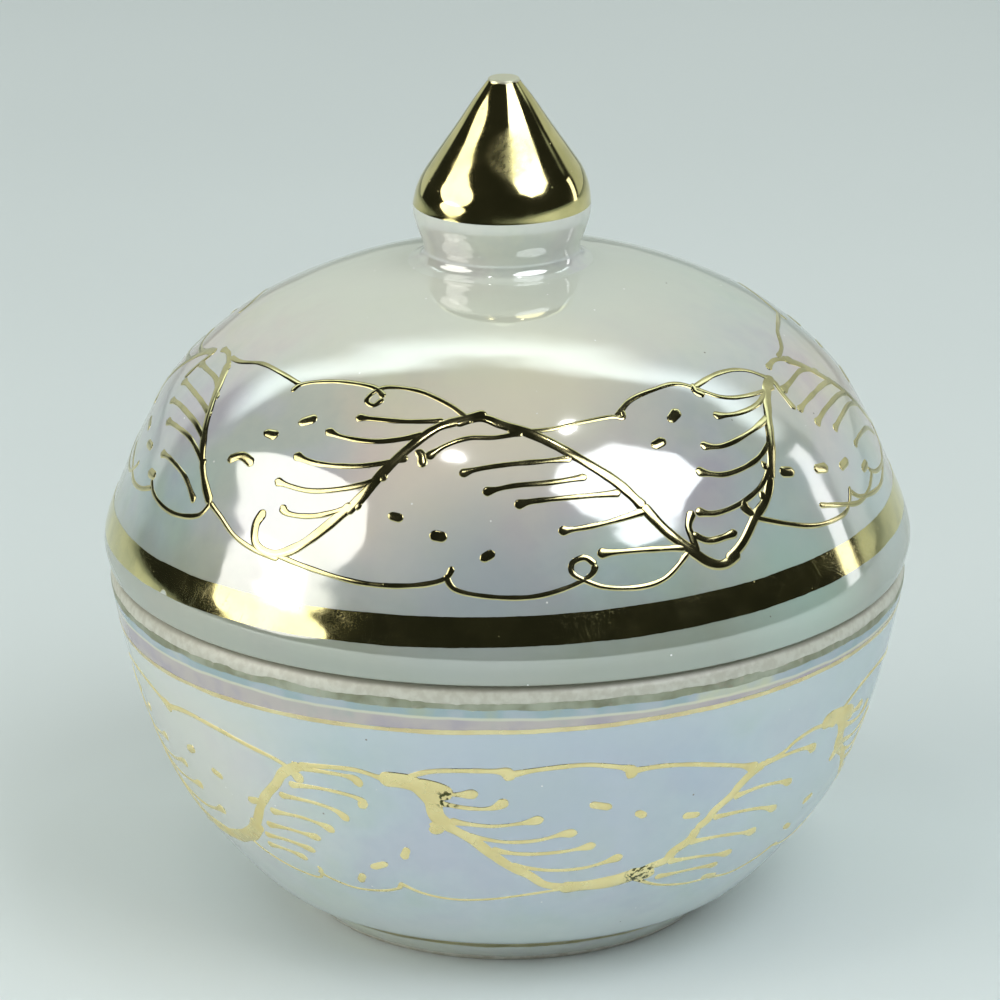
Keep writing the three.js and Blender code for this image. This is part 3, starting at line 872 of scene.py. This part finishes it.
def base():
    bowl = turned("bowl_wall", bowl_outline(), "base", ["bowl"], uneven=0.03)
    paint = glaze(
        "bowl_glaze",
        [
            (0.3, (0.46, 0.58, 0.66)), (0.45, (0.50, 0.60, 0.64)),
            (0.6, (0.56, 0.62, 0.68)), (0.75, (0.60, 0.66, 0.62)),
        ],
        (0.64, 0.70, 0.69), (0.52, 0.62, 0.66), (9, 5), (33, 3),
        BOWL_CLOUDS,
    )
    bare(paint, paint.above(38.72, 0.06), (0.57, 0.57, 0.48), (0.47, 0.46, 0.37), 0.9)
    # Painted shade: the top of the bare rim is coloured dark brown to stand for the shadow under the closed
    # lid's edge; it stays dark with the lid off
    painted_rim_shade = paint.math("MULTIPLY", paint.above(40.2, 0.2, 0.3), 0.75)
    paint.over("Base Color", painted_rim_shade, (0.22, 0.20, 0.14))
    paint.paint(bowl, "bowl_glaze")
    foot = turned("foot_wall", foot_outline(), "base", ["foot_ring"], uneven=0.04)
    paint = glaze(
        "foot_glaze", [(0.3, (0.56, 0.60, 0.56)), (0.7, (0.66, 0.68, 0.63))],
        (0.56, 0.58, 0.50), (0.62, 0.66, 0.62), (1, 1), (3, 1),
    )
    bare(paint, paint.below(0.75, 0.12, 0.5, 2), (0.62, 0.60, 0.53), (0.46, 0.42, 0.33), 1.0)
    paint.paint(foot, "foot_biscuit")
    line = film("foot_line", FOOT_WALL, (2.6, 0), (3.25, 0), "base", ["foot_gold_line"], 0.14)
    gold("foot_gold", (0.52, 0.47, 0.28), (0.36, 0.33, 0.19), 0.3, 0.6).paint(line, "bright_gold")
    replaced = ["bowl_lower_gold_line"]
    low = film("bowl_lower_line", BOWL_WALL, (35.35, TILT), (35.85, TILT), "base", replaced, 0.1)
    gold("rim_gold_low", (0.90, 0.78, 0.46), (0.78, 0.64, 0.36), 0.18, 0.2).paint(low, "bright_gold")
    replaced = ["bowl_lustre_band"]
    band = film("bowl_lustre", BOWL_WALL, (35.85, TILT), (38.35, 0), "base", replaced, 0.08, 0.02)
    lustre("rim_lustre").paint(band, "band_lustre")
    top = film("bowl_upper_line", BOWL_WALL, (38.2, 0), (38.95, 0), "base", ["bowl_upper_gold_line"], 0.3)
    gold("rim_gold_high", (0.50, 0.52, 0.42), (0.36, 0.37, 0.27), 0.4, 0.9).paint(top, "bright_gold")
    replaced = ["bowl_garland"]
    belt = garland("bowl_garland_relief", BOWL_WALL, BOWL_MOTIFS, BOWL_KINDS, BOWL_NODES, "base", replaced)
    paint = gold("bowl_relief_gold", (1.0, 0.86, 0.46), (0.90, 0.76, 0.38), 0.22, 0.12)
    rough = [(BOWL_WALL.place(21.8, 15.5), 2.0), (BOWL_WALL.place(-9, 27), 1.5)]
    pitted(paint, rough, (0.10, 0.10, 0.04))
    paint.paint(belt, "relief_gold")


def lid():
    shell = turned("lid_dome", lid_outline(), "lid", ["lid_shell"], uneven=0.03)
    glaze(
        "lid_glaze",
        [
            (0.3, (0.44, 0.53, 0.54)), (0.42, (0.50, 0.52, 0.52)),
            (0.55, (0.60, 0.54, 0.50)), (0.72, (0.64, 0.61, 0.45)),
        ],
        (0.28, 0.32, 0.24), (0.60, 0.64, 0.54), (49, 6), (68, 5),
        LID_CLOUDS,
    ).paint(shell, "pearl_glaze")
    flange = turned("lid_flange", flange_outline(), "lid", ["lid_locating_flange"], uneven=0.05)
    biscuit("flange_clay", (0.72, 0.66, 0.55), (0.55, 0.49, 0.38)).paint(flange, "flange_biscuit")
    band = film("lid_band", LID_WALL, (45.3, TILT), (48.3, TILT), "lid", ["lid_gold_band"], 0.08)
    paint = gold("band_gold", (0.76, 0.68, 0.32), (0.60, 0.55, 0.27), 0.06, 0, SCRATCH_TURNS)
    chip = paint.near(LID_WALL.place(-55.5, 44.3), 0.75)
    paint.over("Base Color", chip, (0.50, 0.54, 0.50))
    paint.over("Roughness", chip, grey(0.6))
    paint.feed("Metallic", paint.math("SUBTRACT", 1.0, chip))
    paint.paint(band, "bright_gold")
    belt = garland("lid_garland_relief", LID_WALL, LID_MOTIFS, LID_KINDS, LID_NODES, "lid", ["lid_garland"])
    gold("lid_relief_gold", (0.72, 0.64, 0.34), (0.52, 0.47, 0.24), 0.09, 0.1).paint(belt, "relief_gold")
    neck = turned("finial_neck", finial_outline(), "lid", ["finial"], FINIAL_X, 0.04)
    glaze(
        "neck_glaze",
        [(0.3, (0.58, 0.63, 0.57)), (0.5, (0.62, 0.65, 0.57)), (0.7, (0.66, 0.67, 0.58))],
        (0.62, 0.66, 0.58), (0.66, 0.68, 0.61), (74.7, 0.6), (80, 1),
    ).paint(neck, "pearl_glaze")
    cap = turned("finial_gilt", gilding_outline(), "lid", ["finial_gilding"], FINIAL_X, 0.05)
    for piece in (neck, cap):
        lean(piece)
    paint = gold("finial_gold", (0.78, 0.68, 0.32), (0.64, 0.57, 0.26), 0.06)
    smears = paint.noise(0.5, 3, 0.9, (1, 1, 0.2), (0, 25, 0))
    paint.over("Roughness", paint.math("MULTIPLY", paint.near((0.8, -6.8, 88), 3.4), smears), grey(0.45))
    tip = paint.above(TOP - 0.3, 0.08, 0.4, 1)
    paint.over("Base Color", tip, (0.78, 0.76, 0.60))
    paint.over("Roughness", tip, grey(0.5))
    paint.paint(cap, "bright_gold")


# ---------------------------------------------------------------- studio

MIDDLE = Vector((0, 0, 0.05))  # of the box, in metres
LAMP_DISTANCE = 1.2


def facing(azimuth, elevation, turn=0.0):
    """Places a lamp so that it looks at the box's middle. Azimuths run from the front to the right."""
    a = math.radians(azimuth)
    e = math.radians(elevation)
    out = Vector((math.sin(a) * math.cos(e), -math.cos(a) * math.cos(e), math.sin(e)))
    aim = out.to_track_quat("Z", "Y").to_matrix().to_4x4()
    place = Matrix.Translation(out * LAMP_DISTANCE + MIDDLE)
    return place @ aim @ Matrix.Rotation(math.radians(turn), 4, "Z")


def softbox(name, azimuth, elevation, width, height, power, shape="RECTANGLE", colour=WHITE):
    light = bpy.data.lights.new(name, "AREA")
    light.shape = shape
    light.size = width
    light.size_y = height
    light.energy = power
    light.color = colour
    lamp = bpy.data.objects.new(name, light)
    lamp.matrix_world = facing(azimuth, elevation)
    lamp.visible_camera = False
    bpy.context.scene.collection.objects.link(lamp)
    return lamp


def octabox(name, azimuth, elevation, radius, radiance, colour):
    """An eight-sided softbox that glows evenly."""
    bpy.ops.mesh.primitive_circle_add(vertices=8, radius=radius, fill_type="NGON")
    box = bpy.context.object
    box.name = name
    box.matrix_world = facing(azimuth, elevation, 22.5)
    glow = bpy.data.materials.new(name)
    glow.use_nodes = True
    shader = glow.node_tree.nodes["Principled BSDF"]
    shader.inputs["Base Color"].default_value = (*BLACK, 1)
    shader.inputs["Emission Color"].default_value = (*colour, 1)
    shader.inputs["Emission Strength"].default_value = radiance
    box.data.materials.append(glow)
    box.visible_camera = False


def studio():
    softbox("left_softbox", -75, 30, 1.12, 0.62, 4.8, shape="ELLIPSE", colour=(1, 0.98, 0.90))
    softbox("left_card", -70, 11, 0.83, 0.36, 2.1, shape="ELLIPSE", colour=(1, 0.98, 0.90))
    octabox("right_octabox", 50, 48, 0.46, 3.7, (0.94, 0.98, 1))
    softbox("right_strip", 110, 10, 0.14, 0.50, 0.5)
    softbox("ceiling_lamp_left", -36, 70, 0.11, 0.06, 0.3, shape="ELLIPSE")
    softbox("ceiling_lamp_right", 66, 76, 0.09, 0.07, 0.3, shape="ELLIPSE")
    fill = softbox("overhead_fill", 0, 50, 2.2, 2.2, 9.4)
    fill.visible_glossy = False


def sky():
    """Pale beyond the box, with a backdrop's bright top edge, and dark towards and above the camera."""
    world = bpy.data.worlds.new("studio")
    bpy.context.scene.world = world
    world.use_nodes = True
    tree = world.node_tree
    place = tree.nodes.new("ShaderNodeTexCoord")
    split = tree.nodes.new("ShaderNodeSeparateXYZ")
    tree.links.new(place.outputs["Generated"], split.inputs[0])

    def step(source, start, end):
        made = tree.nodes.new("ShaderNodeMapRange")
        made.interpolation_type = "SMOOTHSTEP"
        made.inputs["From Min"].default_value = start
        made.inputs["From Max"].default_value = end
        tree.links.new(source, made.inputs["Value"])
        return made.outputs["Result"]

    def blend(share, first, second):
        made = tree.nodes.new("ShaderNodeMix")
        made.data_type = "RGBA"
        tree.links.new(share, made.inputs[0])
        for socket, value in ((made.inputs[6], first), (made.inputs[7], second)):
            if isinstance(value, tuple):
                socket.default_value = value
            else:
                tree.links.new(value, socket)
        return made.outputs[2]

    dark = (0.020, 0.022, 0.018, 1)
    pale = (0.55, 0.61, 0.57, 1)
    lit = (2.1, 2.4, 2.35, 1)
    skew = 0.12  # brings the bands' edges a little nearer the camera on the right
    across = tree.nodes.new("ShaderNodeMath")
    across.operation = "MULTIPLY_ADD"
    tree.links.new(split.outputs["X"], across.inputs[0])
    across.inputs[1].default_value = skew
    tree.links.new(split.outputs["Y"], across.inputs[2])
    rim = across.outputs[0]
    low = blend(step(rim, 0.55, 0.61), dark, pale)
    edge = blend(step(rim, 0.45, 0.60), lit, pale)
    high = blend(step(rim, 0.37, 0.44), dark, edge)
    colour = blend(step(split.outputs["Z"], 0.42, 0.60), low, high)
    tree.links.new(colour, tree.nodes["Background"].inputs["Color"])


def floor():
    bpy.ops.mesh.primitive_circle_add(vertices=64, radius=5, fill_type="NGON", location=(0, 0, 0))
    ground = bpy.context.object
    ground.name = "floor"
    paint = Paint("floor_paper")
    colour = paint.ramp(paint.noise(300, 2), [(0.3, (0.70, 0.76, 0.76)), (0.7, (0.74, 0.80, 0.80))])
    paint.feed("Base Color", colour)
    paint.set(roughness=0.8, ior=1.2)
    ground.data.materials.append(paint.material)


def camera():
    elevation = math.radians(19.03)
    roll = math.radians(-0.41)
    distance = 0.560
    aim = Vector((-0.0008, 0, 0.0461))
    lens = bpy.data.cameras.new("camera")
    lens.lens = 180
    lens.sensor_width = 36
    lens.clip_start = 0.01
    view = bpy.data.objects.new("camera", lens)
    place = aim + Vector((0, -math.cos(elevation), math.sin(elevation))) * distance
    turn = Matrix.Rotation(math.pi / 2 - elevation, 4, "X") @ Matrix.Rotation(roll, 4, "Z")
    view.matrix_world = Matrix.Translation(place) @ turn
    bpy.context.scene.collection.objects.link(view)
    bpy.context.scene.camera = view


base()
lid()
floor()
studio()
sky()
camera()
bpy.context.scene.view_settings.view_transform = "Standard"
